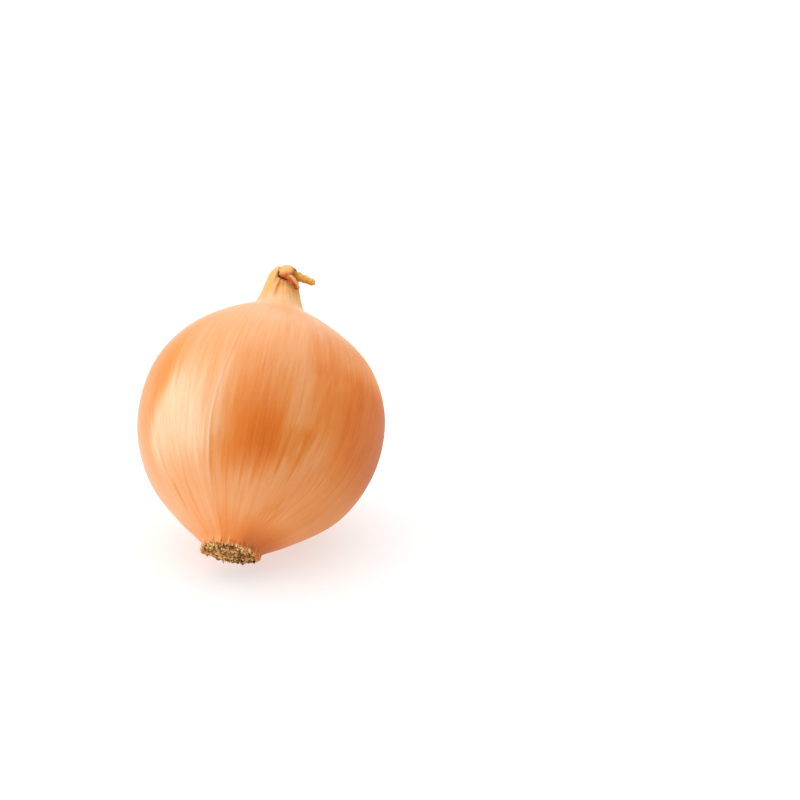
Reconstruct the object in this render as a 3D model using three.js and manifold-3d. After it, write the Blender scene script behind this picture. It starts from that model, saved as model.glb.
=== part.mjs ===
// A whole brown-skinned onion, dried and trimmed, lying on its flank: the root end is low in front and the
// neck leans up and back.
//
// Millimetres, +Z up. The origin is the middle of the small flat spot that the onion rests on. Its stem axis
// lies in the YZ plane and leans from +Z towards +Y. Each piece is shaped in the bulb's own frame first, where
// +Z is the stem axis towards the neck and 0 is the widest level, and the whole is then leaned over.

import * as THREE from "three";
import Module from "manifold-3d";
import { mergeVertices } from "three/addons/utils/BufferGeometryUtils.js";

// Driving dimensions.
const LEAN_DEG = 47.6; // stem axis from upright
const REST_HEIGHT = 38.95; // the bulb's middle above the surface, which presses its flank flat
const REST_BESIDE = 0.45; // and how far it stands to the side of the flat spot's middle
const REST_AHEAD = 0.43; // and in front of it
const MAX_RADIUS = 40;
const NECK_SHIFT = -2.5; // the neck grows off centre, sideways
const NECK_SHIFT_FROM = 23.5;
const NECK_SHIFT_TO = 50;
const ROOT_SHIFT = -0.95; // and so does the root end
const ROOT_SHIFT_FROM = -20;
const ROOT_SHIFT_TO = -44;

// The bulb's outline, as [radius, level], from the lip of skin round the roots to the mouth of the neck.
const OUTLINE = [
  [9.8, -43.5],
  [10.8, -40.9],
  [20.1, -34.4],
  [31.0, -24.8],
  [37.6, -12.8],
  [MAX_RADIUS, 0],
  [38.3, 13.6],
  [31.6, 25.6],
  [21.1, 34.4],
  [9.8, 41.3],
  [7.1, 45.4],
  [5.8, 49.2],
  [5.0, 52.0],
  [4.7, 53.4],
];
const [LIP, RIM] = [OUTLINE[0][1], OUTLINE.at(-1)[1]];
const OUTLINE_STEPS = 48;
const COLUMNS = 80;

// The socket under the bulb that holds the root plate, and the mouth of the neck that holds the leaf ends.
const SOCKET_LIP_RADIUS = 8.9;
const SOCKET_FLOOR_RADIUS = 8.5;
const SOCKET_FLOOR = -40.6;
const MOUTH_RADIUS = 3.9;
const MOUTH_FLOOR_RADIUS = 3.1;
const MOUTH_FLOOR = 48.8;
const GAP = 0.3; // clear space between two pieces
const TRIM = 0.42; // how far the bulb is grown to trim its neighbours, which leaves the gap on slopes too

// Relief of the dry skin.
const VEINS = 20; // low ribs from the roots to the neck, larger than life
const VEIN_HEIGHT = 0.16;
const LAP_HEIGHT = 0.42; // the outer skin laps over itself along one line
const LAP_SPREAD = 5; // how fast it settles away from that line
const LAP_ANGLE_DEG = -96;
const LAP_WANDER_DEG = 3;
const LAP_HALF_WIDTH = 0.007; // radians
const NECK_FOLD_SHARE = 0.05; // of the neck's radius
const TEAR_FROM = 47.5; // above this level the torn mouth's edge rises and falls
const TEAR_CURL = 0.22; // and leans inwards where it rises
const OUT_OF_ROUND = 0.004;

// The root plate and its dried roots.
const PLATE_RADIUS = 8.4;
const PLATE_FACE = -43.2;
const PLATE_DOME = 1.0;
const ROOTS = 96;
const ROOT_LENGTH = 1.5;
const ROOT_RADIUS = 0.55;
const ROOT_SINK = 0.9;
const ROOT_SPLAY_DEG = 34;
const GOLDEN_ANGLE = Math.PI * (3 - Math.sqrt(5));

const BLADE_THICKNESS = 0.75; // of a withered leaf end
const BLADE_STEPS = 12;

const COLOURS = { skin: 0xe48b45, root: 0x9c7343, leaf: 0xb5652b };

const wasm = await Module();
wasm.setup();

// A repeatable draw between -1 and 1.
function makeDraw(seed) {
  let state = seed;
  return () => {
    state = (state * 1664525 + 1013904223) >>> 0;
    return (state / 2 ** 31) - 1;
  };
}

function smooth(from, to, value) {
  const t = Math.min(1, Math.max(0, (value - from) / (to - from)));
  return t * t * (3 - 2 * t);
}

// How far the bulb's middle line stands off the stem axis at a level.
function shift(level) {
  return (
    NECK_SHIFT * smooth(NECK_SHIFT_FROM, NECK_SHIFT_TO, level) +
    ROOT_SHIFT * smooth(ROOT_SHIFT_FROM, ROOT_SHIFT_TO, level)
  );
}

function toSolid(geometry) {
  const bare = geometry.clone();
  bare.deleteAttribute("normal");
  bare.deleteAttribute("uv");
  const merged = mergeVertices(bare, 1e-4);
  return new wasm.Manifold(
    new wasm.Mesh({
      numProp: 3,
      vertProperties: merged.attributes.position.array,
      triVerts: new Uint32Array(merged.index.array),
    }),
  );
}

function toGeometry(solid) {
  const mesh = solid.getMesh();
  const geometry = new THREE.BufferGeometry();
  geometry.setAttribute("position", new THREE.BufferAttribute(new Float32Array(mesh.vertProperties), 3));
  geometry.setIndex(new THREE.BufferAttribute(new Uint32Array(mesh.triVerts), 1));
  geometry.computeVertexNormals();
  return geometry;
}

// The angle of the lapped edge of the outer skin at a level: it follows the veins and wanders a little.
function lapAngle(level) {
  const wander = LAP_WANDER_DEG * Math.sin((level / MAX_RADIUS) * 2.4);
  return THREE.MathUtils.degToRad(LAP_ANGLE_DEG + wander);
}

// Columns go once round from just past the lapped edge to just before it, so the step lies between the last
// column and the first.
function columnAngle(column, level) {
  const share = (column % COLUMNS) / (COLUMNS - 1);
  return lapAngle(level) + LAP_HALF_WIDTH + share * 2 * (Math.PI - LAP_HALF_WIDTH);
}

// How far the skin stands from the middle line: the outline's radius with veins, the lap, the neck's folds and
// a little lumpiness.
function skinReach(column, radius, level) {
  const angle = columnAngle(column, level);
  const share = (column % COLUMNS) / (COLUMNS - 1);
  const onBody = smooth(-42, -34, level) * (1 - smooth(34, 44, level));
  const onNeck = smooth(38, 50, level);
  const lap = LAP_HEIGHT * smooth(-40, -28, level) * (1 - smooth(14, 30, level)) * share ** LAP_SPREAD;
  const vein = VEIN_HEIGHT * (0.6 + 0.4 * onBody) * Math.cos(VEINS * (angle - lapAngle(level)));
  const fold = NECK_FOLD_SHARE * radius * onNeck * (Math.cos(3 * angle + 1.2) + 0.7 * Math.cos(7 * angle + 0.5));
  const lumps = OUT_OF_ROUND * radius * onBody * (Math.cos(2 * angle + 1.1) + Math.cos(3 * angle - level * 0.03));
  return radius + lap + vein + fold + lumps;
}

// The mouth's torn edge stands high at the left and back, and is torn low in front.
function tear(angle) {
  const sweep = 0.8 - 2 * Math.cos(angle) + 1.8 * Math.sin(angle) + 0.9 * Math.cos(2 * angle);
  return sweep + 0.22 * Math.cos(5 * angle) + 0.16 * Math.cos(9 * angle + 2);
}

// A closed lathe about +Z whose outside is the skin, with a plain round socket and mouth. It can be grown.
function bulbShell(grown = 0) {
  const outside = new THREE.SplineCurve(OUTLINE.map(([r, z]) => new THREE.Vector2(r, z))).getPoints(OUTLINE_STEPS);
  const socket = [
    new THREE.Vector2(0, SOCKET_FLOOR - grown),
    new THREE.Vector2(SOCKET_FLOOR_RADIUS - grown, SOCKET_FLOOR - grown),
    new THREE.Vector2(SOCKET_LIP_RADIUS - grown, LIP),
  ];
  const mouth = [
    new THREE.Vector2(MOUTH_RADIUS - grown, RIM),
    new THREE.Vector2(MOUTH_FLOOR_RADIUS - grown, MOUTH_FLOOR + grown),
    new THREE.Vector2(0, MOUTH_FLOOR + grown),
  ];
  const profile = [...socket, ...outside, ...mouth];
  const geometry = new THREE.LatheGeometry(profile, COLUMNS);
  const place = geometry.attributes.position;
  for (let column = 0; column <= COLUMNS; column++) {
    for (let ring = 0; ring < profile.length; ring++) {
      const { x: radius, y: level } = profile[ring];
      const angle = columnAngle(column, level);
      const skin = ring >= socket.length && ring < socket.length + outside.length;
      const lift = radius > 0 ? smooth(TEAR_FROM, RIM, level) * tear(angle) : 0;
      const curl = TEAR_CURL * Math.max(0, level + lift - RIM) ** 1.5;
      const reach = (skin ? skinReach(column, radius, level) + grown : radius) - curl;
      const ends = (level === RIM ? grown : 0) - (level === LIP ? grown : 0);
      place.setXYZ(
        column * profile.length + ring,
        shift(level) + reach * Math.cos(angle),
        reach * Math.sin(angle),
        level + lift + ends,
      );
    }
  }
  return toSolid(geometry);
}

// From the bulb's own frame to the part's: leaned over +Y, and set on the surface.
const pose = new THREE.Matrix4()
  .makeTranslation(REST_BESIDE, -REST_AHEAD, REST_HEIGHT)
  .multiply(new THREE.Matrix4().makeRotationX(-THREE.MathUtils.degToRad(LEAN_DEG)));

// The flank is pressed flat where it meets the surface.
function makeBulb() {
  const size = 4 * MAX_RADIUS;
  const ground = new THREE.BoxGeometry(size, size, size).translate(0, 0, -size / 2);
  ground.applyMatrix4(pose.clone().invert());
  return bulbShell().subtract(toSolid(ground));
}

// A closed body lofted through rings of points that all have the same count, with a fan at each end.
function loft(rings) {
  const sides = rings[0].length;
  const points = rings.flat();
  const centre = (ring) => ring.reduce((sum, p) => sum.add(p), new THREE.Vector3()).divideScalar(sides);
  points.push(centre(rings[0]), centre(rings.at(-1)));
  const faces = [];
  for (let r = 0; r < rings.length - 1; r++) {
    for (let s = 0; s < sides; s++) {
      const [a, b] = [r * sides + s, r * sides + ((s + 1) % sides)];
      faces.push(a, b, b + sides, a, b + sides, a + sides);
    }
  }
  const last = (rings.length - 1) * sides;
  for (let s = 0; s < sides; s++) {
    const next = (s + 1) % sides;
    faces.push(points.length - 2, next, s, points.length - 1, last + s, last + next);
  }
  const geometry = new THREE.BufferGeometry();
  geometry.setAttribute("position", new THREE.Float32BufferAttribute(points.flatMap((p) => [p.x, p.y, p.z]), 3));
  geometry.setIndex(faces);
  return toSolid(geometry);
}

// One dried root: a tapered five-sided stub that leaves the plate along a direction and bends to one side.
function makeRoot(base, direction, bend, length, radius) {
  const sides = 5;
  const across = new THREE.Vector3().crossVectors(direction, new THREE.Vector3(0.3, 1, 0.2)).normalize();
  const other = new THREE.Vector3().crossVectors(direction, across);
  const rings = [0, 0.6, 1].map((share) => {
    const middle = base.clone().addScaledVector(direction, share * length);
    middle.addScaledVector(bend, share * share * length * 0.5);
    const size = radius * (1 - 0.4 * share ** 2);
    return Array.from({ length: sides }, (_, s) => {
      const turn = (2 * Math.PI * s) / sides;
      const round = across.clone().multiplyScalar(Math.cos(turn)).addScaledVector(other, Math.sin(turn));
      return middle.clone().addScaledVector(round, size);
    });
  });
  return loft(rings);
}

// The root plate: a low dome seated in the bulb's socket, matted with short dried roots set in a spiral.
function makeRootPlate() {
  const draw = makeDraw(7);
  const back = SOCKET_FLOOR - 1.5 * GAP;
  const faceLevel = (share) => PLATE_FACE - PLATE_DOME * (1 - share ** 2);
  const profile = [0, 0.5, 0.8, 1].map((share) => new THREE.Vector2(PLATE_RADIUS * share, faceLevel(share)));
  profile.push(new THREE.Vector2(SOCKET_FLOOR_RADIUS - 2 * GAP, back), new THREE.Vector2(0, back));
  let plate = toSolid(new THREE.LatheGeometry(profile, 36).rotateX(Math.PI / 2));
  for (let k = 0; k < ROOTS; k++) {
    const share = Math.sqrt((k + 0.5) / ROOTS);
    const turn = k * GOLDEN_ANGLE;
    const outwards = new THREE.Vector3(Math.cos(turn), Math.sin(turn), 0);
    const splay = THREE.MathUtils.degToRad(ROOT_SPLAY_DEG * (share + 0.5 * draw()));
    const direction = outwards.clone().multiplyScalar(Math.sin(splay)).setZ(-Math.cos(splay));
    const base = outwards.clone().multiplyScalar(share * (PLATE_RADIUS - ROOT_RADIUS)).setZ(faceLevel(share));
    base.addScaledVector(direction, -ROOT_SINK);
    const bend = new THREE.Vector3(draw(), draw(), 0.3 * draw());
    const length = ROOT_SINK + ROOT_LENGTH * (0.75 + 0.25 * draw());
    plate = plate.add(makeRoot(base, direction, bend, length, ROOT_RADIUS * (1 + 0.25 * draw())));
  }
  return plate.translate([shift(PLATE_FACE), 0, 0]).subtract(bulbShell(TRIM));
}

// One withered leaf end: a thin arched blade along a path, across a given direction, narrower at both ends.
function makeBlade({ path, across, width, tip, arch }) {
  const curve = new THREE.CatmullRomCurve3(path.map((p) => new THREE.Vector3(...p)));
  const halves = [-1, -0.5, 0, 0.5, 1];
  const rings = Array.from({ length: BLADE_STEPS + 1 }, (_, k) => {
    const share = k / BLADE_STEPS;
    const along = curve.getTangentAt(share);
    const side = new THREE.Vector3(...across);
    side.addScaledVector(along, -along.dot(side)).normalize();
    const up = new THREE.Vector3().crossVectors(side, along);
    const spread = 0.6 + 0.4 * smooth(0, 0.4, share) - (1 - tip) * smooth(0.55, 1, share);
    const half = 0.5 * width * spread;
    const at = (s, lift) =>
      curve
        .getPointAt(share)
        .addScaledVector(side, s * half)
        .addScaledVector(up, arch * half * (1 - s * s) + lift);
    const top = halves.map((s) => at(s, BLADE_THICKNESS / 2));
    const bottom = halves.toReversed().map((s) => at(s, -BLADE_THICKNESS / 2));
    return [...top, ...bottom];
  });
  return loft(rings);
}

// The withered leaf ends about the neck's middle line: x across, y back, z along the stem. The hood comes up at
// the back and folds forward over the torn edge, the curl hangs below it, the strap points sideways, and two
// short ones stay in the mouth.
const BLADES = [
  {
    path: [[0.2, 1.2, 50], [0.2, 1.8, 54], [0.3, -0.8, 56], [1.1, -3.6, 55.4], [1.8, -5.2, 53.8], [2, -5.4, 52.3]],
    across: [1, 0, 0],
    width: 5.8,
    tip: 0.85,
    arch: -0.45,
  },
  {
    path: [[1.2, -1.6, 50], [2.2, -4.4, 52.3], [3.6, -5.6, 51.6], [5.2, -4.9, 50.2], [6.4, -3.6, 48.8]],
    across: [0.7, 0.5, 0.5],
    width: 1.6,
    tip: 0.8,
    arch: 0.4,
  },
  {
    path: [[1.2, 0.4, 50.5], [2.4, -0.4, 53.8], [4.2, -1.0, 54.6], [7.2, -1.5, 53.2], [10.6, -1.5, 52]],
    across: [0, -0.85, 0.55],
    width: 2.4,
    tip: 0.7,
    arch: 0.5,
  },
  {
    path: [[-0.2, 0.8, 50.5], [-0.9, 1.3, 54.2], [-1.2, 1.7, 57]],
    across: [1, 0.6, 0],
    width: 2.4,
    tip: 0.3,
    arch: -0.35,
  },
  {
    path: [[-0.6, -0.6, 50.5], [-0.9, -1.1, 53.4], [-1.1, -1.6, 55.6]],
    across: [0.3, 1, 0],
    width: 2.0,
    tip: 0.3,
    arch: 0.35,
  },
];

// The leaf ends share one core in the mouth, and are trimmed clear of the neck.
function makeLeafEnds() {
  const core = [
    new THREE.Vector2(0, MOUTH_FLOOR + 1.5 * GAP),
    new THREE.Vector2(MOUTH_FLOOR_RADIUS - 2 * GAP, MOUTH_FLOOR + 1.5 * GAP),
    new THREE.Vector2(MOUTH_RADIUS - 3 * GAP, 51),
    new THREE.Vector2(0, 51.8),
  ];
  let ends = toSolid(new THREE.LatheGeometry(core, 24).rotateX(Math.PI / 2));
  for (const blade of BLADES) {
    ends = ends.add(makeBlade(blade));
  }
  return ends.translate([shift(RIM), 0, 0]).subtract(bulbShell(TRIM));
}

function makePiece(name, solid, colour, roughness) {
  const material = new THREE.MeshStandardMaterial({ color: colour, roughness, metalness: 0 });
  const mesh = new THREE.Mesh(toGeometry(solid), material);
  mesh.name = name;
  return mesh;
}

const onion = new THREE.Group();
onion.add(makePiece("bulb", makeBulb(), COLOURS.skin, 0.45));
onion.add(makePiece("root_plate", makeRootPlate(), COLOURS.root, 0.9));
onion.add(makePiece("leaf_ends", makeLeafEnds(), COLOURS.leaf, 0.7));
onion.applyMatrix4(pose);

const part = new THREE.Group();
part.add(onion);

export default part;
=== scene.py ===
import bpy
import numpy as np
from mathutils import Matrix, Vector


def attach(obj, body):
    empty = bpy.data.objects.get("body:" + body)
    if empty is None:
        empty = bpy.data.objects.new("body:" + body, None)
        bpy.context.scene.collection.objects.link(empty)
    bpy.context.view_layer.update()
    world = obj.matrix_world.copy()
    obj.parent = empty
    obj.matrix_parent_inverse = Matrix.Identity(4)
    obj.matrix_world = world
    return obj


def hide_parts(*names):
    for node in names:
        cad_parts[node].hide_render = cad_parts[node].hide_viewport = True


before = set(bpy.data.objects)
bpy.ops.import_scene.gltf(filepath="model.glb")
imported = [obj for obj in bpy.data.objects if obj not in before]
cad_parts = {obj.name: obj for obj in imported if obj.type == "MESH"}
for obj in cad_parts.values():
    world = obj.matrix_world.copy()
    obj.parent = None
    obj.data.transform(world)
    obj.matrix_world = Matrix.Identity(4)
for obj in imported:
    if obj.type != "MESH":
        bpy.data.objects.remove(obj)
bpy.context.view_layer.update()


# The bulb.
# A whole onion: fleshy leaf bases in a dry, papery, golden orange skin that is drawn up into a withered
# neck. The skin is one layer lapped over itself along one side. It grew in one piece, and is drawn as one.

MM = 0.001
LEAN = np.radians(47.6)  # the stem axis from upright
BULB_MIDDLE = np.array([0.45, -0.43, 38.95])  # from the middle of the flat spot that it rests on
OUTLINE = np.array([  # radius and level, from the lip round the roots to the mouth of the neck
    (9.8, -43.5), (10.8, -40.9), (20.1, -34.4), (31.0, -24.8), (37.6, -12.8), (40.0, 0.0), (38.3, 13.6),
    (31.6, 25.6), (21.1, 34.4), (9.8, 41.3), (7.1, 45.4), (5.8, 49.2), (5.0, 52.0), (4.7, 53.4),
])
LIP, RIM = OUTLINE[0, 1], OUTLINE[-1, 1]
SOCKET_TOP, MOUTH_FLOOR = -40.6, 48.8  # the levels where the two hollows end
COLUMNS, RINGS = 600, 150
LAP_HEIGHT = 0.17  # in millimetres, like every length up to the last section
LAP_HALF_WIDTH = 0.004  # in radians


def ease(start, end, value):
    """0 before start and 1 after end, with the smooth cubic step 3t^2 - 2t^3 between them."""
    t = np.clip((value - start) / (end - start), 0, 1)
    return t * t * (3 - 2 * t)


def hump(middle, half_width, value):
    """A bell, exp(-d^2), of the distance from the middle in half widths."""
    return np.exp(-(((value - middle) / half_width) ** 2))


def smooth_line(corners, steps):
    """A Catmull-Rom curve through the corners, each span the usual cubic of its four nearest corners."""
    place = np.linspace(0, len(corners) - 1, steps + 1)
    span = np.minimum(place.astype(int), len(corners) - 2)
    part = (place - span)[:, None]
    before, here, there, after = (
        corners[np.clip(span + step, 0, len(corners) - 1)] for step in (-1, 0, 1, 2)
    )
    leaving, arriving = (there - before) / 2, (after - here) / 2
    cubic = (2 * here - 2 * there + leaving + arriving) * part**3
    square = (-3 * here + 3 * there - 2 * leaving - arriving) * part**2
    return cubic + square + leaving * part + here


def sideways(level):
    """How far the neck and the root end grow off the stem axis: two smooth steps."""
    return -2.5 * ease(23.5, 50, level) - 0.95 * ease(-20, -44, level)


def lap_angle(level):
    """The lapped edge's angle: a fixed meridian with one slow sine of the level."""
    return np.radians(-96 + 3 * np.sin(level / 40 * 2.4))


def tear(angle):
    """How high the torn mouth stands round the neck: a few low cosine waves, high at the left and back,
    and a flap beside the hood, an eased slope that ends in a steep torn edge."""
    sweep = 0.8 - 2 * np.cos(angle) + 1.8 * np.sin(angle) + 0.9 * np.cos(2 * angle)
    turned = (np.degrees(angle) + 180) % 360 - 180
    flap = 3.3 * ease(-175, -112, turned) * (1 - ease(-111, -103, turned))
    notches = 0.22 * np.cos(5 * angle) + 0.16 * np.cos(9 * angle + 2) + 0.08 * np.cos(23 * angle)
    return sweep + flap + notches


def waves(angle, level, counts, seed):
    """Lengthwise ribs: a sum of cosines round the bulb with the given counts, drifting with level."""
    draw = np.random.default_rng(seed)
    total = 0
    for count in counts:
        phase, drift, beat = draw.uniform(0, 2 * np.pi), draw.uniform(-1, 1), draw.uniform(0, 2 * np.pi)
        swell = 0.7 + 0.3 * np.cos(level / 13 + beat)
        total = total + swell * np.cos(count * angle + phase + drift * level / 40) / len(counts) ** 0.5
    return total


def in_the_scene(points):
    """From the bulb's own millimetres to the scene's metres: a turn about x by the lean, and a shift."""
    x, y, z = points[..., 0], points[..., 1], points[..., 2]
    back = y * np.cos(LEAN) + z * np.sin(LEAN)
    up = z * np.cos(LEAN) - y * np.sin(LEAN)
    return (np.stack([x, back, up], -1) + BULB_MIDDLE) * MM


def add_piece(name, points, faces, numbers, material, node):
    """A closed smooth mesh with its numbers per corner, which takes over a node and its finish."""
    mesh = bpy.data.meshes.new(name)
    mesh.from_pydata(points.tolist(), [], faces)
    for key, values in numbers.items():
        kind, field = ("FLOAT_VECTOR", "vector") if values.ndim > 1 else ("FLOAT", "value")
        attribute = mesh.attributes.new(key, kind, "POINT")
        attribute.data.foreach_set(field, values.astype(np.float32).ravel())
    mesh.polygons.foreach_set("use_smooth", [True] * len(mesh.polygons))
    mesh.materials.append(material)
    piece = bpy.data.objects.new(name, mesh)
    bpy.context.scene.collection.objects.link(piece)
    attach(piece, "root")
    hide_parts(node)


def tube_faces(rings, sides, first=0):
    """Quads between rings of equal count, and at each end a fan on a centre point. The two centre points
    come after the rings."""
    ring = first + np.arange(rings)[:, None] * sides
    here, following = np.arange(sides)[None], (np.arange(sides)[None] + 1) % sides
    a, b = ring[:-1] + here, ring[:-1] + following
    quads = np.stack([a, b, b + sides, a + sides], -1).reshape(-1, 4)
    last = first + (rings - 1) * sides
    start, end = first + rings * sides, first + rings * sides + 1
    here, following = here[0], following[0]
    below = np.stack([np.full(sides, start), first + following, first + here], -1)
    above = np.stack([np.full(sides, end), last + here, last + following], -1)
    return quads.tolist() + below.tolist() + above.tolist()


# The skin is a grid of columns round the stem axis and rings along the outline. The socket for the roots
# and the mouth of the neck carry on from its two ends.
skin_line = smooth_line(OUTLINE, RINGS)
socket_line = np.array([
    (3.0, SOCKET_TOP), (8.5, SOCKET_TOP), (8.7, -41.6), (8.9, LIP), (9.35, LIP - 0.25),
])
mouth_line = np.array([
    (4.3, RIM + 0.1), (3.9, RIM), (3.6, 52.0), (3.3, 50.4), (3.1, MOUTH_FLOOR), (1.5, MOUTH_FLOOR),
])
line = np.vstack([socket_line, skin_line, mouth_line])
on_skin = np.zeros(len(line), bool)
on_skin[len(socket_line) - 1:len(socket_line) + RINGS + 2] = True

radius, level = line[:, 0][:, None], line[:, 1][:, None]
share = np.arange(COLUMNS)[None] / (COLUMNS - 1)
angle = lap_angle(level) + LAP_HALF_WIDTH + share * 2 * (np.pi - LAP_HALF_WIDTH)
on_body = ease(-42, -34, level) * (1 - ease(34, 44, level))
on_neck = ease(38, 50, level)
near_root = 1 - ease(-42.5, -36, level)

lap = LAP_HEIGHT * ease(-40, -30, level) * (1 - ease(8, 26, level)) * (share**7 * 0.7 + share**60 * 0.3)
main_veins = 0.04 * (1 + near_root) * np.cos(20 * (angle - lap_angle(level)))
fine_veins = 0.020 * waves(angle, level, (31, 43, 58, 67, 83, 97, 121), seed=3)
pleats = (0.10 * on_neck + 0.07 * near_root) * waves(angle, level, (7, 11, 16, 23, 37), seed=5)
folds = 0.03 * radius * on_neck * (np.cos(3 * angle + 1.2) + 0.7 * np.cos(7 * angle + 0.5))
lumps = 0.004 * radius * on_body * (np.cos(2 * angle + 1.1) + np.cos(3 * angle - level * 0.03))
relief = np.where(on_skin[:, None], lap + main_veins + fine_veins + pleats + folds + lumps, 0)

lift = ease(47.5, RIM, level) * tear(angle)
curl = 0.22 * np.clip(level + lift - RIM, 0, None) ** 1.5
degrees = (np.degrees(angle) + 180) % 360 - 180
# The lip frays into a fringe. A flap of it hangs down at each side, and it is shorter underneath.
hanging = 1.1 * hump(180, 24, np.abs(degrees)) + 1.4 * hump(-6, 15, degrees) - 0.7 * hump(88, 42, degrees)
fringe_waves = waves(angle, level * 0, (9, 19, 33, 51, 74), seed=8)
frayed = (0.22 * fringe_waves + hanging) * (1 - ease(LIP, LIP + 1.5, level))
reach = radius + relief - curl
bulb_points = np.stack([
    sideways(level) + reach * np.cos(angle),
    reach * np.sin(angle),
    level + lift - frayed + 0 * angle,
], -1)
ends = np.array([[sideways(end), 0, end] for end in (SOCKET_TOP, MOUTH_FLOOR)])
bulb_grid = in_the_scene(bulb_points)
bulb_places = np.vstack([bulb_grid.reshape(-1, 3), in_the_scene(ends)])
bulb_places[:, 2] = np.maximum(bulb_places[:, 2], 0)  # pressed flat where it rests

# What the skin's colour follows, worked out from angle and level: its tone, from deep orange at 0 to cream
# at 1, where it is straw yellow, where it is rust brown, where painted shade browns it, and the few creases
# that stand out.
left_of_lap = ease(0.6, 0.65, share)
ragged_degrees = degrees + 1.2 * waves(angle, level, (29, 47, 71), seed=11)
ragged_level = level + 2.4 * waves(angle, level * 0, (37, 61, 89, 113, 151), seed=12)


def patch(change, left, right, bottom, top):
    """A change of tone inside a window: each edge is a pair, where it starts and where it is full."""
    across = ease(*left, ragged_degrees) * (1 - ease(*right, ragged_degrees))
    return change * across * ease(*bottom, ragged_level) * (1 - ease(*top, ragged_level))


# The outer layer is pale left of the lap, out to an orange arc, and deep orange where it is tight at the
# right.
# The pale is partly a painted highlight, the arc is painted reflection, and round the right side the deep
# tone is partly painted shade. Each patch is a change of tone and the four edges of its window, in degrees
# and in levels.
TIGHT_AND_PAINTED_SHADE_PATCHES = (
    (-0.16, (-98, -86), (-66, -60), (-30, -22), (-8, 8)),
    (-0.14, (-88, -77), (-67, -60), (-25, -19), (-14, -3)),
    (-0.08, (-98, -90), (-66, -56), (-30, -24), (0, 18)),
    (-0.17, (-67, -61), (-59, -53), (-24, -19), (-15, -10)),
    (-0.17, (-56, -50), (-44, -36), (-18, -10), (6, 16)),
    # This row and the two others that reach 90 degrees deepen the right side: partly its own colour, partly
    # painted shade.
    (-0.30, (-42, -32), (40, 90), (-25, -11), (6, 20)),
    (-0.12, (-62, -46), (40, 90), (6, 12), (20, 28)),
    (-0.12, (-62, -52), (-46, -36), (6, 10), (16, 24)),
    (-0.08, (-62, -40), (40, 90), (-38, -32), (-22, -14)),
    (0.13, (-99, -97), (-92, -83), (-20, -15), (4, 10)),
    (-0.12, (-59, -54), (-49, -44), (-24, -19), (-13, -8)),
    (-0.08, (-53, -47), (-28, -20), (-11, -6), (2, 8)),
    (0.07, (-53, -49), (-46, -42), (-12, -8), (-4, 2)),
    (-0.10, (-60, -52), (-42, -34), (-36, -34), (-33, -31)),
)
# The orange arc is painted reflection: a deeper band where the skin's reflections leave a dark gap.
arc = -119 - 20 * (1 - ease(-22, 8, ragged_level))
inside_arc = ease(arc - 9, arc + 3, ragged_degrees)
# The pale zone is the outer layer's own paler colour, with the left panel's highlight partly painted into
# it.
pale_and_painted_highlight = 0.40 * (1 - ease(-6, 16, ragged_level)) * ease(-33, -15, ragged_level)
pale_and_painted_highlight = pale_and_painted_highlight * (1 - 0.45 * ease(-107, -101, ragged_degrees) * ease(-29, -24, level))
arc_painted_reflection = left_of_lap * (1 - inside_arc) * patch(1, (-176, -150), (-60, -50), (-20, -8), (14, 26))
lower_belt = (1 - ease(-112, -80, degrees)) * (1 - ease(-32, -26, ragged_level)) * ease(-42, -37, level)
tone = 0.54 + 0.06 * ease(6, 18, level) + 0.09 * ease(22, 30, level) + 0.06 * lower_belt
tone = tone + left_of_lap * inside_arc * pale_and_painted_highlight - 0.24 * arc_painted_reflection
tone = tone + (1 - left_of_lap) * sum(patch(*window) for window in TIGHT_AND_PAINTED_SHADE_PATCHES)
shaded_side = ease(-34, 0, degrees) * (1 - ease(60, 110, degrees))
tone = tone - 0.10 * shaded_side * ease(-30, -10, level) * (1 - ease(10, 24, level))
tone = tone - (0.20 - 0.10 * left_of_lap) * (1 - ease(-41, -33, level))
# Painted shade under the bulb: beside the roots, at the front and right, the skin is darker and browner.
above_roots = (1 - ease(-42, -34, level)) * (1 - ease(60, 90, degrees))
tone = tone - 0.24 * above_roots * ease(-80, -50, degrees)
tone = tone + 0.16 * ease(33, 40, level) * (1 - ease(43, 47, level))
tone = tone - on_neck * (0.12 + 0.08 * ease(-80, -20, degrees) * (1 - ease(60, 120, degrees)))
fringe = (1 - ease(-42.9, -41.6, level)) * waves(angle, level, (17, 41, 67, 97), seed=17)
tone = tone + 0.20 * fringe
straw = np.clip(0.3 * arc_painted_reflection + on_neck + 0.6 * np.clip(fringe, 0, 1), 0, 1)
mottled = 0.5 + 0.5 * waves(angle, level, (13, 23, 41, 59), seed=19)
lip_rust = 0.6 * mottled * (1 - ease(-43.2, -41.4, level)) * (1 - np.clip(hanging, 0, 1))
rust_and_painted_shade = np.where(on_skin[:, None], lip_rust, 1.0)
# Painted shade: the skin is browner low on the right side and beside the roots, where shade falls.
painted_shade_side = ease(-34, 0, ragged_degrees) * (1 - ease(10, 75, ragged_degrees))
painted_shade_brown = (0.20 + 0.12 * ease(-26, -8, level)) * painted_shade_side
painted_shade_brown = painted_shade_brown * ease(-44, -28, level) * (1 - ease(0, 20, ragged_level))
painted_shade_brown = painted_shade_brown + 0.35 * above_roots * ease(-70, -30, degrees)
rust_and_painted_shade = rust_and_painted_shade + on_skin[:, None] * painted_shade_brown


def crease(at, lean, low, high, width):
    """A thin line along a meridian: a narrow bell of the angle, faded in and out between two levels."""
    middle = at + lean * (level - low) / (high - low)
    return hump(middle, width, degrees) * ease(low, low + 4, level) * (1 - ease(high - 5, high, level))


from_lap = degrees - np.degrees(lap_angle(level))
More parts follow.
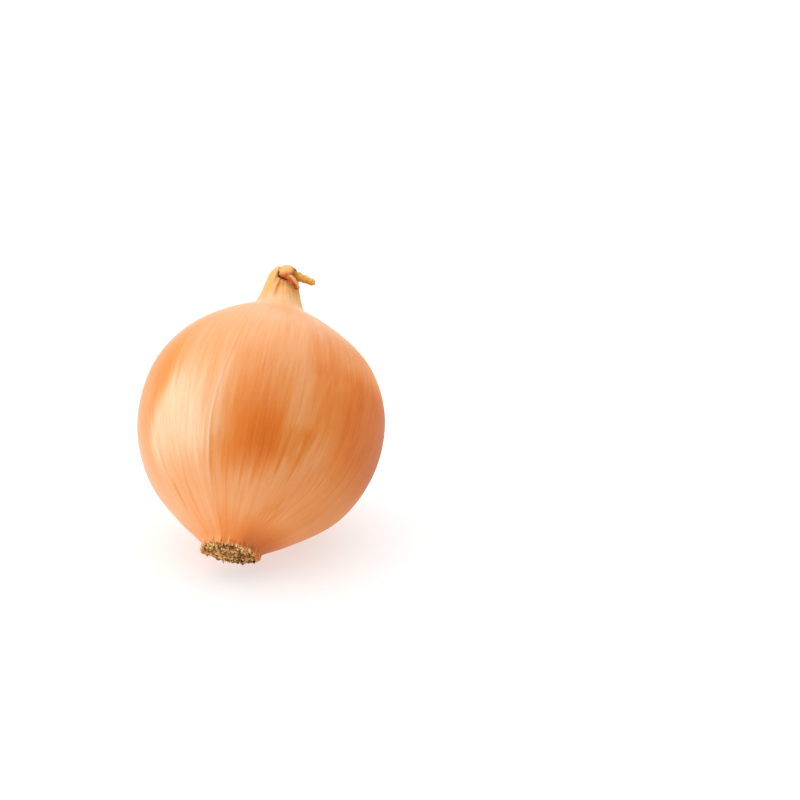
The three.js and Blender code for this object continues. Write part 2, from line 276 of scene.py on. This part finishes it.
# The first line, just right of the lap, is the lap's painted shadow; the rest are thin dark lines along the
# skin.
dark_creases_and_lap_shadow = (
    0.5 * hump(1.0, 0.9, from_lap) * ease(-30, -24, level) * (1 - ease(-14, -6, level))
    + 0.9 * crease(-59.6, 0.5, -27, -9, 0.9) + 0.7 * crease(-51, 1.2, -28, -8, 0.9)
    + 0.5 * crease(-98, 0.3, -30, -20, 1.2) + 0.6 * crease(-104, 2, -27, -19, 1.4)
    + 1.6 * crease(-136, 4, -37, -27, 1.3) + 0.7 * crease(-122, 4, -38, -24, 1.0)
    + 0.4 * crease(-58.5, 1, 8, 24, 0.9)
    + 0.35 * crease(-68, 1, -2, 20, 0.9)
)
torn_line = crease(-94, 7, 42, 54, 3.6) + 0.7 * crease(-86, 4, 46, 54, 9)
golden_streak = crease(-119, 2, 40, 52, 6)
tone = tone - 0.26 * torn_line - 0.18 * golden_streak
straw = np.clip(straw - 0.55 * torn_line, 0, 1)
rust_and_painted_shade = np.clip(rust_and_painted_shade + 0.10 * torn_line + 0.25 * crease(-48, -6, 40, 50, 3), 0, 1)
# The first line, just left of the lap, is a painted highlight on the lap's edge.
pale_creases_and_lap_highlight = (
    1.0 * hump(-0.6, 0.5, from_lap) * ease(-26, -20, level) * (1 - ease(10, 20, level))
    + 0.6 * crease(-104, 3, -26, -6, 0.9) + 0.5 * crease(-58.2, 0.5, -24, -10, 0.8)
    + 0.4 * crease(-52, 3, -12, 6, 1.6) + 0.35 * crease(-111, 2, -22, -4, 0.9)
    + 0.3 * crease(-87, 1, -20, 8, 0.8)
    + 0.5 * hump(1.2, 1.2, from_lap) * ease(-21, -15, level) * (1 - ease(7, 15, level))
)
shine = 0.30 - 0.22 * ease(-50, -16, degrees) * (1 - ease(60, 120, degrees)) - 0.1 * on_neck
run = np.stack([np.cos(angle), np.sin(angle), level / 40 + 0 * angle], -1)


def per_point(values, first, last):
    """A grid of numbers as one list, with the numbers of the two end points after it."""
    return np.concatenate([(values + 0 * angle).ravel(), [first, last]])


skin_numbers = {
    "tone": per_point(tone, 0.2, 0.2),
    "straw": per_point(straw, 0, 0),
    "rust_and_painted_shade": per_point(rust_and_painted_shade, 1, 1),
    "dark_crease_and_lap_shadow": per_point(dark_creases_and_lap_shadow, 0, 0),
    "shine": per_point(shine, 0.3, 0.3),
    "pale_crease_and_lap_highlight": per_point(pale_creases_and_lap_highlight, 0, 0),
    "run": np.vstack([run.reshape(-1, 3), [[0, 0, -1], [0, 0, 1.2]]]),
}


class Finish:
    """A material under construction: short calls add its nodes and join them."""

    def __init__(self, name, settings):
        """A new material, with the given settings on its shader's own sockets."""
        self.material = bpy.data.materials.new(name)
        self.material.use_nodes = True
        self.tree = self.material.node_tree
        self.shader = self.tree.nodes["Principled BSDF"]
        for socket, value in settings.items():
            self.shader.inputs[socket].default_value = value

    def node(self, kind, **settings):
        """A new node with its settings."""
        made = self.tree.nodes.new(kind)
        for key, value in settings.items():
            setattr(made, key, value)
        return made

    def feed(self, source, socket):
        """Joins an output to a socket, or sets the socket to a number or a colour."""
        if hasattr(source, "is_linked"):
            self.tree.links.new(source, socket)
        else:
            socket.default_value = source

    def read(self, name):
        """One of the piece's own numbers per corner; "run" is its lengthwise coordinate, a vector."""
        attribute = self.node("ShaderNodeAttribute", attribute_name=name)
        return attribute.outputs["Vector" if name == "run" else "Fac"]

    def noise(self, along, stretch, detail, roughness=0.55):
        """Fractal noise of a vector whose three parts are first scaled by the stretch."""
        mapping = self.node("ShaderNodeMapping")
        self.feed(along, mapping.inputs["Vector"])
        mapping.inputs["Scale"].default_value = stretch
        texture = self.node("ShaderNodeTexNoise")
        texture.inputs["Scale"].default_value = 1.0
        texture.inputs["Detail"].default_value = detail
        texture.inputs["Roughness"].default_value = roughness
        self.feed(mapping.outputs[0], texture.inputs["Vector"])
        return texture.outputs["Fac"]

    def sum(self, a, b, factor, shift=0.0):
        """a + factor * (b + shift)."""
        moved = self.node("ShaderNodeMath", operation="MULTIPLY_ADD")
        self.feed(b, moved.inputs[0])
        moved.inputs[1].default_value = factor
        moved.inputs[2].default_value = factor * shift
        total = self.node("ShaderNodeMath", operation="ADD")
        self.feed(a, total.inputs[0])
        self.feed(moved.outputs[0], total.inputs[1])
        return total.outputs[0]

    def ramp(self, value, stops):
        """A colour for each value, straight between the stops."""
        ramp = self.node("ShaderNodeValToRGB")
        colours = ramp.color_ramp.elements
        for stop in stops[2:]:
            colours.new(stop[0])
        for element, (at, colour) in zip(colours, sorted(stops)):
            element.position = at
            element.color = (*colour, 1)
        self.feed(value, ramp.inputs["Fac"])
        return ramp.outputs["Color"]

    def mix(self, amount, a, b):
        """Straight from colour a to colour b as the amount goes from 0 to 1."""
        mixer = self.node("ShaderNodeMix", data_type="RGBA")
        self.feed(amount, mixer.inputs["Factor"])
        self.feed(a, mixer.inputs["A"])
        self.feed(b, mixer.inputs["B"])
        return mixer.outputs["Result"]

    def bump(self, height, distance, strength):
        """Relief by the slope of the height, which is the distance, in metres, at a height of one."""
        slope = self.node("ShaderNodeBump")
        slope.inputs["Strength"].default_value = strength
        slope.inputs["Distance"].default_value = distance
        self.feed(height, slope.inputs["Height"])
        self.feed(slope.outputs["Normal"], self.shader.inputs["Normal"])


# Dry skin: bands, streaks and hairlines that all run from the roots to the neck.
skin = Finish("dry_onion_skin", {"IOR": 1.42, "Coat IOR": 1.42, "Coat Roughness": 0.28})
along = skin.read("run")
bands = skin.noise(along, (3.2, 3.2, 1.0), 2.0)
streaks = skin.noise(along, (12, 12, 1.5), 2.0)
veins = skin.noise(along, (42, 42, 3.0), 2.0)
hairs = skin.noise(along, (120, 120, 6.0), 3.0, 0.65)
speckle = skin.noise(along, (70, 70, 60), 3.0, 0.65)
value = skin.read("tone")
for layer, strength in ((bands, 0.14), (streaks, 0.18), (veins, 0.26), (hairs, 0.32), (speckle, 0.12)):
    value = skin.sum(value, layer, strength, -0.5)
value = skin.sum(value, skin.read("dark_crease_and_lap_shadow"), -0.20)
value = skin.sum(value, skin.read("pale_crease_and_lap_highlight"), 0.20)
orange = skin.ramp(value, [
    (0.00, (0.62, 0.120, 0.004)),
    (0.20, (0.76, 0.180, 0.010)),
    (0.40, (0.81, 0.258, 0.045)),
    (0.60, (0.85, 0.355, 0.125)),
    (0.80, (0.88, 0.455, 0.215)),
    (1.00, (0.92, 0.585, 0.340)),
])
yellow = skin.ramp(value, [
    (0.05, (0.76, 0.28, 0.035)),
    (0.30, (0.86, 0.38, 0.070)),
    (0.55, (0.88, 0.47, 0.135)),
    (1.00, (0.93, 0.70, 0.400)),
])
brown = skin.ramp(value, [
    (0.10, (0.36, 0.095, 0.012)),
    (0.60, (0.60, 0.210, 0.045)),
    (1.00, (0.78, 0.400, 0.150)),
])
colour = skin.mix(skin.read("straw"), orange, yellow)
colour = skin.mix(skin.read("rust_and_painted_shade"), colour, brown)
skin.feed(colour, skin.shader.inputs["Base Color"])
dullness = skin.sum(skin.sum(0.34, streaks, 0.16), skin.read("shine"), -0.8, -0.30)
skin.feed(dullness, skin.shader.inputs["Roughness"])
skin.feed(skin.read("shine"), skin.shader.inputs["Coat Weight"])
ridge = skin.sum(skin.sum(veins, hairs, 0.5), speckle, 0.10)
skin.bump(ridge, 0.00012, 0.8)

add_piece(
    "onion_bulb", bulb_places, tube_faces(len(line), COLUMNS), skin_numbers,
    skin.material, "bulb",
)


# The root plate.
# The flat disc of stem under the bulb that its roots grew from. They have dried and were trimmed short,
# so it is matted with brittle tan stubs, and it is dark and pitted between them.

PLATE_RADIUS, PLATE_FACE, PLATE_DOME, PLATE_BACK = 8.4, -43.2, 1.0, -41.05
PLATE_SIDES = 96
STUBS, COLLAR_FIBRES = 320, 150
THINNEST, THICKEST = 0.30, 0.84  # the radius of all stubs but three, at the foot
TUBE_SIDES, TUBE_RINGS = 6, 6
GOLDEN_ANGLE = np.pi * (3 - np.sqrt(5))


def face_level(share):
    """The plate's face is a shallow bowl turned over: its level falls with one minus the share squared."""
    return PLATE_FACE - PLATE_DOME * (1 - share**2)


def unit(vectors):
    """The vectors at length one."""
    return vectors / np.linalg.norm(vectors, axis=-1, keepdims=True)


def curled_tubes(feet, heading, aside, length, turned, thick, thin):
    """Many tubes at once. Each spine is a circular arc of its length that leaves its foot along the heading
    and turns towards aside by the given angle, or as far as its girth allows. The girth, a radius, runs
    from thick to thin, with cosine knobs."""
    count = len(feet)
    aside = unit(aside - heading * np.sum(aside * heading, axis=1, keepdims=True))
    share = np.linspace(0, 1, TUBE_RINGS)[None, :, None]
    straightest, tightest = 0.05, 0.8 * length / thick[:, 0]
    bend = np.clip(turned, straightest, tightest)[:, None, None]
    arc_ahead, arc_aside = np.sin(bend * share) / bend, (1 - np.cos(bend * share)) / bend
    arc = heading[:, None] * arc_ahead + aside[:, None] * arc_aside
    spine = feet[:, None] + length[:, None, None] * arc
    onward = heading[:, None] * np.cos(bend * share) + aside[:, None] * np.sin(bend * share)
    binormal = np.cross(heading, aside)[:, None] + 0 * onward
    normal = np.cross(binormal, onward)
    side = (np.arange(TUBE_SIDES) * 2 * np.pi / TUBE_SIDES)[None, None, :, None]
    knobs = 1 + 0.16 * np.cos(share * 13 + np.arange(count)[:, None, None] * 1.7)
    girth = (thick + (thin - thick) * share[..., 0])[..., None] * knobs * (1 - 0.45 * share**8)
    points = spine[:, :, None] + girth[:, :, None] * (
        normal[:, :, None] * np.cos(side) + binormal[:, :, None] * np.sin(side)
    )
    caps = np.stack([spine[:, 0], spine[:, -1] + onward[:, -1] * girth[:, -1] * 0.6], 1)
    return np.concatenate([points.reshape(count, -1, 3), caps], 1)


plate_line = [(share * PLATE_RADIUS, face_level(share)) for share in np.linspace(0.04, 1, 24)]
plate_line = np.array(plate_line + [(8.35, -42.6), (7.9, PLATE_BACK), (1.0, PLATE_BACK)])
turn = np.arange(PLATE_SIDES)[None] * 2 * np.pi / PLATE_SIDES
plate_radius, plate_level = plate_line[:, 0][:, None], plate_line[:, 1][:, None]
pits = 0.12 * np.cos(plate_radius * 5 + 3 * np.cos(5 * turn)) * np.cos(9 * turn + plate_radius * 2)
pits = pits * (plate_level < -43)
plate_points = np.stack([
    plate_radius * np.cos(turn), plate_radius * np.sin(turn), plate_level + pits + 0 * turn,
], -1)

# The stubs stand in a sunflower spiral, sunk in the face. The thinner ones are mostly longer and more
# curled. Three are thick and dark.
draw = np.random.default_rng(21)
place = (np.arange(STUBS) + 0.5) / STUBS
out = np.sqrt(place) * (PLATE_RADIUS - 0.3)
around = np.arange(STUBS) * GOLDEN_ANGLE + draw.normal(0, 0.06, STUBS)
outwards = np.stack([np.cos(around), np.sin(around), 0 * around], -1)
lean_out = np.radians(26) * (out / PLATE_RADIUS) ** 2
heading = unit(outwards * np.sin(lean_out)[:, None] + [0, 0, -1] + draw.normal(0, 0.22, (STUBS, 3)))
towards_middle = -1.5 * outwards * (out[:, None] / PLATE_RADIUS) ** 3
aside = unit(np.cross(heading, draw.normal(0, 1, (STUBS, 3))) + towards_middle)
feet = outwards * out[:, None] + np.array([0, 0, 1]) * (face_level(out / PLATE_RADIUS) + 0.7)[:, None]
thick = draw.uniform(THINNEST, THICKEST, (STUBS, 1))
thinness = (THICKEST - thick[:, 0]) / (THICKEST - THINNEST)
thin = thick * draw.uniform(0.6, 1.0, (STUBS, 1))
stub_shades = draw.choice([0.0, 0.25, 0.50, 0.90], STUBS, p=[0.24, 0.26, 0.30, 0.20])
stub_shades = stub_shades + draw.normal(0, 0.08, STUBS) - 0.36 * ease(2, 7, feet[:, 1])
for spot_x, spot_y, girth in ((5.0, 5.0, 1.15), (-4.6, 4.8, 0.95), (-1.5, -3.4, 0.9)):
    nearest = np.argmin(np.hypot(feet[:, 0] - spot_x, feet[:, 1] - spot_y))
    thick[nearest], thin[nearest], stub_shades[nearest] = girth, girth, 0.02
stub_lengths = 0.8 + draw.uniform(0, 0.7, STUBS) + thinness * draw.uniform(0, 1.4, STUBS)
stub_lengths = stub_lengths * (1 - 0.25 * ease(5.5, 8, out)) + 0.6 * ease(3, 7, feet[:, 1])
stub_turns = draw.uniform(0.2, 0.9, STUBS) + thinness * draw.uniform(0, 1.6, STUBS)
stub_points = curled_tubes(feet, heading, aside, stub_lengths, stub_turns, thick, thin)

# Pale fibres of torn skin bend in over the mat's rim and close the gap under the lip.
around = (np.arange(COLLAR_FIBRES) + draw.uniform(-0.4, 0.4, COLLAR_FIBRES)) * 2 * np.pi / COLLAR_FIBRES
outwards = np.stack([np.cos(around), np.sin(around), 0 * around], -1)
heading = unit(outwards * 0.3 + [0, 0, -1] + draw.normal(0, 0.30, (COLLAR_FIBRES, 3)))
aside = unit(-outwards + draw.normal(0, 0.5, (COLLAR_FIBRES, 3)))
feet = outwards * draw.uniform(8.6, 9.3, COLLAR_FIBRES)[:, None] + np.array([0, 0, LIP + 0.5])
fibre_lengths = draw.uniform(0.5, 1.9, COLLAR_FIBRES) * (1 - 0.4 * ease(2, 7, feet[:, 1]))
fibre_turns = draw.uniform(0.3, 1.7, COLLAR_FIBRES)
thick = draw.uniform(0.20, 0.50, (COLLAR_FIBRES, 1))
thin = draw.uniform(0.12, 0.30, (COLLAR_FIBRES, 1))
collar_points = curled_tubes(feet, heading, aside, fibre_lengths, fibre_turns, thick, thin)

plate_ends = np.array([[0, 0, face_level(0)], [0, 0, PLATE_BACK]])
root_points = np.vstack([
    plate_points.reshape(-1, 3), plate_ends, stub_points.reshape(-1, 3), collar_points.reshape(-1, 3),
])
root_points[:, 0] += sideways(PLATE_FACE)
plate_count = plate_points.shape[0] * plate_points.shape[1] + 2
tube_count, per_tube = STUBS + COLLAR_FIBRES, TUBE_SIDES * TUBE_RINGS + 2
root_faces = tube_faces(len(plate_line), PLATE_SIDES)
for tube in range(tube_count):
    root_faces += tube_faces(TUBE_RINGS, TUBE_SIDES, plate_count + tube * per_tube)

tips = np.concatenate([np.repeat(np.linspace(0, 1, TUBE_RINGS), TUBE_SIDES), [0, 1]])
shades = np.concatenate([stub_shades, draw.uniform(0.25, 1.15, COLLAR_FIBRES)])
root_numbers = {
    "shade": np.concatenate([np.zeros(plate_count), np.repeat(shades, per_tube)]),
    "tip": np.concatenate([np.zeros(plate_count), np.tile(tips, tube_count)]),
}

root = Finish("dried_roots", {"Roughness": 0.85})
fibre = root.noise(root.node("ShaderNodeTexCoord").outputs["Object"], (2600, 2600, 2600), 4.0)
mould = root.noise(root.node("ShaderNodeTexCoord").outputs["Object"], (420, 420, 420), 2.0)
value = root.sum(0.13, root.read("tip"), 0.16)
value = root.sum(value, root.read("shade"), 0.68)
value = root.sum(value, fibre, 0.40, -0.5)
value = root.sum(value, mould, 0.40, -0.5)
tan = root.ramp(value, [
    (0.00, (0.050, 0.018, 0.005)),
    (0.30, (0.24, 0.096, 0.021)),
    (0.55, (0.60, 0.270, 0.066)),
    (0.80, (0.78, 0.465, 0.155)),
    (1.00, (0.90, 0.690, 0.340)),
])
root.feed(tan, root.shader.inputs["Base Color"])
root.bump(fibre, 0.0002, 0.7)
add_piece(
    "dried_root_plate", in_the_scene(root_points), root_faces, root_numbers, root.material,
    "root_plate",
)


# The leaf ends.
# What is left of the leaves above the neck: thin, withered straps that come out of its mouth. One is folded
# forward over the torn edge as a hood, one curls below it, one points sideways, and two short ones stand.

LEAF_THICKNESS = 0.75
LEAF_CORE = np.array([  # radius and level of the plug that they all grow from
    (0.4, 49.25), (2.5, 49.25), (3.0, 51.0), (1.6, 51.5), (0.3, 51.8),
])
LEAF_STEPS, LEAF_COLUMNS, CORE_SIDES = 44, 13, 48
# Each leaf has a middle line, a direction across it, a width, the share of that which is left at its tip,
# an arch, and the sign of its outer face. Its colour: how golden it is, where its dark base ends along it,
# how rusty its tip is, where across it its dark edge starts and is full, and how much red-brown that edge
# gets.
# The dark edge and its red-brown are painted shade.
LEAVES = (
    dict(
        path=[
            (0.6, 1.2, 50), (0.6, 1.8, 53.8), (0.9, -0.8, 56),
            (1.4, -3.6, 55.5), (1.8, -5.2, 53.9), (2, -5.2, 51.9),
        ],
        across=(1, 0, 0), width=5.6, tip=0.8, arch=-0.38, outer=-1,
        golden=0.1, base_ends=0.68, tip_rust=0.9, dark_edge=(0.45, 1.0), painted_shade_red=0.6,
    ),
    dict(
        path=[(1.2, -1.6, 50), (2.2, -4.4, 52.3), (3.6, -5.6, 51.6), (5.2, -4.9, 50.2), (6.4, -3.6, 48.8)],
        across=(0.7, 0.5, 0.5), width=2.5, tip=0.7, arch=-0.4, outer=-1,
        golden=0.0, base_ends=0.2, tip_rust=0.1, dark_edge=(-0.1, -0.6), painted_shade_red=0.9,
    ),
    dict(
        path=[
            (1.2, 0.4, 50.5), (2.4, -0.4, 53.8), (4.2, -1.0, 54.5), (7.2, -1.7, 53.5), (11.1, -1.8, 52.3),
        ],
        across=(0, -0.85, 0.55), width=3.5, tip=0.75, arch=-0.5, outer=-1,
        golden=1.0, base_ends=0.35, tip_rust=0.15, dark_edge=(0.3, -0.3), painted_shade_red=0.08,
    ),
    dict(
        path=[(-0.2, 0.8, 50.5), (-0.9, 1.3, 54.2), (-1.2, 1.7, 57)],
        across=(1, 0.6, 0), width=2.4, tip=0.3, arch=-0.35, outer=-1,
        golden=0.5, base_ends=0.3, tip_rust=0.4, dark_edge=(0.8, 1.2), painted_shade_red=0.5,
    ),
    dict(
        path=[(-0.6, -0.6, 50.5), (-0.9, -1.1, 53.4), (-1.1, -1.6, 55.6)],
        across=(0.3, 1, 0), width=2.0, tip=0.3, arch=0.35, outer=1,
        golden=0.3, base_ends=0.3, tip_rust=0.4, dark_edge=(0.8, 1.2), painted_shade_red=0.5,
    ),
)


def leaf(path, across, width, tip, arch, outer, golden, base_ends, tip_rust, dark_edge, painted_shade_red):
    """A thin arched blade along a smooth path: its two faces are parabolas across, ribbed lengthwise, half
    a thickness either side of the path, and it narrows to both ends. Returns its grid, ends and numbers."""
    spine = smooth_line(np.array(path, float), LEAF_STEPS)
    along = unit(np.gradient(spine, axis=0))
    across = np.array(across, float)
    side = unit(across - along * (along @ across)[:, None])
    up = np.cross(side, along)
    share = np.linspace(0, 1, LEAF_STEPS + 1)[:, None]
    half = width / 2 * (0.6 + 0.4 * ease(0, 0.4, share) - (1 - tip) * ease(0.55, 1, share))
    half = half * (1 - 0.5 * ease(0.9, 1.02, share))
    columns = np.linspace(-1, 1, LEAF_COLUMNS)
    offset = np.concatenate([columns, columns[::-1]])[None]
    face = np.repeat([1, -1], LEAF_COLUMNS)[None]
    ribs = 0.05 * np.cos(offset * 17 + share * 2) + 0.03 * np.cos(offset * 31 + 1)
    ragged = 0.10 * np.cos(share * 37 + offset * 2) * np.abs(offset) ** 3 * half
    wall = face * LEAF_THICKNESS / 2 * (0.45 + 0.55 * (1 - np.abs(offset) ** 4))
    lift = arch * half * (1 - offset**2) + wall + ribs * (face == outer)
    sideward = offset * half + ragged * np.sign(offset)
    grid = spine[:, None] + side[:, None] * sideward[..., None] + up[:, None] * lift[..., None]
    # The inner face and the dark edge are darker and red-brown: painted shade.
    inner = (face != outer) + 0 * lift
    base = 1 - ease(base_ends - 0.08, base_ends + 0.02, share)
    dark = np.clip(ease(*dark_edge, offset) + 0.9 * base, 0, 1) + 0 * lift
    rust_and_painted_shade = 0.75 * inner + 0.5 * base + 0.2 * np.abs(offset) ** 6 + tip_rust * ease(0.82, 0.95, share)
    rust_and_painted_shade = np.clip(rust_and_painted_shade + painted_shade_red * ease(*dark_edge, offset), 0, 1)
    numbers = np.stack([share + 0 * offset, offset + 0 * share, golden + 0 * lift, rust_and_painted_shade, dark], -1)
    return grid, np.stack([grid[0].mean(0), grid[-1].mean(0)]), numbers


leaf_points, leaf_numbers, leaf_faces = [], [], []


def join_leaf(grid, ends, numbers):
    """Adds one closed tube of rings to the piece, its corners numbered on from the last one's."""
    first = sum(len(points) for points in leaf_points)
    leaf_faces.extend(tube_faces(grid.shape[0], grid.shape[1], first))
    leaf_points.append(np.vstack([grid.reshape(-1, 3), ends]))
    leaf_numbers.append(np.vstack([numbers.reshape(-1, 5), numbers[0].mean(0), numbers[-1].mean(0)]))


for leaf_shape in LEAVES:
    join_leaf(*leaf(**leaf_shape))
core_turn = np.arange(CORE_SIDES)[None] * 2 * np.pi / CORE_SIDES
core_radius, core_level = LEAF_CORE[:, 0][:, None], LEAF_CORE[:, 1][:, None]
core_grid = np.stack([
    core_radius * np.cos(core_turn), core_radius * np.sin(core_turn), core_level + 0 * core_turn,
], -1)
none = 0 * core_grid[..., 0]
core_numbers = np.stack([none, np.cos(core_turn * 9) + none, none, 1 + none, 0.5 + none], -1)
core_ends = np.array([[0, 0, LEAF_CORE[0, 1]], [0, 0, LEAF_CORE[-1, 1]]])
join_leaf(core_grid, core_ends, core_numbers)
leaf_points, leaf_numbers = np.vstack(leaf_points), np.vstack(leaf_numbers)
leaf_points[:, 0] += sideways(RIM)

leaves = Finish("withered_leaf", {
    "Roughness": 0.62,
    "Subsurface Weight": 0.3,
    "Subsurface Radius": (1.0, 0.5, 0.2),
    "Subsurface Scale": 0.0015,
})
grain = leaves.noise(leaves.read("run"), (1, 9, 1), 3.0)
blotch = leaves.noise(leaves.node("ShaderNodeTexCoord").outputs["Object"], (500, 500, 500), 3.0)
value = leaves.sum(0.55, grain, 0.8, -0.5)
value = leaves.sum(value, blotch, 0.6, -0.5)
value = leaves.sum(value, leaves.read("dark"), -0.22)
papery = leaves.ramp(value, [
    (0.10, (0.78, 0.230, 0.040)),
    (0.50, (0.93, 0.430, 0.130)),
    (0.90, (0.95, 0.600, 0.260)),
])
golden = leaves.ramp(value, [
    (0.10, (0.52, 0.220, 0.025)),
    (0.35, (0.74, 0.390, 0.070)),
    (0.60, (0.90, 0.620, 0.130)),
    (0.90, (0.94, 0.740, 0.230)),
])
red_brown = leaves.ramp(value, [
    (0.10, (0.30, 0.045, 0.005)),
    (0.50, (0.68, 0.140, 0.018)),
    (0.90, (0.80, 0.250, 0.045)),
])
colour = leaves.mix(leaves.read("golden"), papery, golden)
colour = leaves.mix(leaves.read("rust_and_painted_shade"), colour, red_brown)
leaves.feed(colour, leaves.shader.inputs["Base Color"])
leaves.bump(leaves.sum(grain, blotch, 0.4), 0.00025, 0.8)
add_piece(
    "withered_leaf_ends", in_the_scene(leaf_points), leaf_faces,
    {
        "run": np.stack([leaf_numbers[:, 0] * 3, leaf_numbers[:, 1], leaf_numbers[:, 2] * 5], -1),
        "golden": leaf_numbers[:, 2],
        "rust_and_painted_shade": leaf_numbers[:, 3],
        "dark": leaf_numbers[:, 4],
    },
    leaves.material, "leaf_ends",
)


# The table, the light and the camera.
# A plain white table that glows a little, so that shadows on it are faint. Soft white light comes from all
# round, with a large panel at the left, a small one high at the right and a narrow spot on the roots. The
# camera looks down on the onion from a little to its right, about a metre away.

BULB = BULB_MIDDLE * MM
AZIMUTH, ELEVATION = np.radians(14), np.radians(25)
DISTANCE = 1.010  # metres to the bulb's middle, along the camera's axis
FOCAL_PIXELS = 3110  # the lens: its focal length, in pixels of the image
IMAGE_SIZE = 800
SEEN_AT = (260.1, 428.0)  # where the bulb's middle shows in the image, in pixels
TABLE_HALF = 3.0  # metres from its middle to its edge

level_ahead = np.array([-np.sin(AZIMUTH), np.cos(AZIMUTH), 0])
up_straight = np.array([0, 0, 1])
forward = level_ahead * np.cos(ELEVATION) - up_straight * np.sin(ELEVATION)
rightward = np.array([np.cos(AZIMUTH), np.sin(AZIMUTH), 0])
upward = np.cross(rightward, forward)

floor_mesh = bpy.data.meshes.new("table")
corners = [(x * TABLE_HALF, y * TABLE_HALF, 0) for x, y in ((-1, -1), (1, -1), (1, 1), (-1, 1))]
floor_mesh.from_pydata(corners, [], [(0, 1, 2, 3)])
floor_finish = Finish("white_table", {
    "Base Color": (0.45, 0.45, 0.45, 1),
    "Roughness": 0.7,
    "Specular IOR Level": 0.2,
    "Emission Color": (1, 1, 1, 1),
    "Emission Strength": 0.55,
})
floor_mesh.materials.append(floor_finish.material)
floor = bpy.data.objects.new("table", floor_mesh)
bpy.context.scene.collection.objects.link(floor)


def panel(name, place, size, power):
    """A rectangular panel of light that faces the bulb."""
    light = bpy.data.lights.new(name, "AREA")
    light.shape = "RECTANGLE"
    light.size, light.size_y = size
    light.energy = power
    lamp = bpy.data.objects.new(name, light)
    aim = Vector(BULB - np.array(place))
    lamp.rotation_mode = "QUATERNION"
    lamp.rotation_quaternion = aim.to_track_quat("-Z", "Y")
    lamp.location = place
    bpy.context.scene.collection.objects.link(lamp)


left_place = BULB - rightward * 0.59 - level_ahead * 0.14 + up_straight * 0.17
panel("left_panel", left_place, (0.80, 0.36), 1.9)
right_place = BULB + rightward * 0.48 - level_ahead * 0.62 + up_straight * 0.48
panel("right_panel", right_place, (0.32, 0.40), 0.35)

spot_data = bpy.data.lights.new("root_spot", "SPOT")
spot_data.energy = 0.9
spot_data.spot_size = np.radians(11)
spot_data.spot_blend = 1.0
spot_data.shadow_soft_size = 0.02
root_spot = bpy.data.objects.new("root_spot", spot_data)
root_end = in_the_scene(np.array([sideways(LIP), 0, LIP]))
spot_place = root_end + np.array([0.05, -0.34, 0.06])
root_spot.location = spot_place
root_spot.rotation_mode = "QUATERNION"
root_spot.rotation_quaternion = Vector(root_end - spot_place).to_track_quat("-Z", "Y")
bpy.context.scene.collection.objects.link(root_spot)

world = bpy.data.worlds.new("studio")
bpy.context.scene.world = world
world.use_nodes = True
sky = world.node_tree
back = sky.nodes["Background"]
direction = sky.nodes.new("ShaderNodeTexCoord")
toward = sky.nodes.new("ShaderNodeVectorMath")
toward.operation = "DOT_PRODUCT"
bright_side = level_ahead * 0.30 + up_straight * 0.95
toward.inputs[1].default_value = tuple(bright_side / np.linalg.norm(bright_side))
sky.links.new(direction.outputs["Generated"], toward.inputs[0])
gradient = sky.nodes.new("ShaderNodeMapRange")
gradient.interpolation_type = "SMOOTHSTEP"
gradient.inputs["From Min"].default_value = 0.1
gradient.inputs["From Max"].default_value = 0.95
gradient.inputs["To Min"].default_value = 0.15
gradient.inputs["To Max"].default_value = 1.7
sky.links.new(toward.outputs["Value"], gradient.inputs["Value"])
sky.links.new(gradient.outputs["Result"], back.inputs["Strength"])
back.inputs["Color"].default_value = (1, 1, 1, 1)

camera_data = bpy.data.cameras.new("camera")
camera_data.lens = camera_data.sensor_width * FOCAL_PIXELS / IMAGE_SIZE
camera = bpy.data.objects.new("camera", camera_data)
off_right = (SEEN_AT[0] - IMAGE_SIZE / 2) / FOCAL_PIXELS * DISTANCE
off_up = (IMAGE_SIZE / 2 - SEEN_AT[1]) / FOCAL_PIXELS * DISTANCE
camera.location = BULB - forward * DISTANCE - rightward * off_right - upward * off_up
camera.rotation_euler = (np.pi / 2 - ELEVATION, 0, AZIMUTH)
bpy.context.scene.collection.objects.link(camera)
bpy.context.scene.camera = camera

bpy.context.scene.view_settings.view_transform = "Standard"
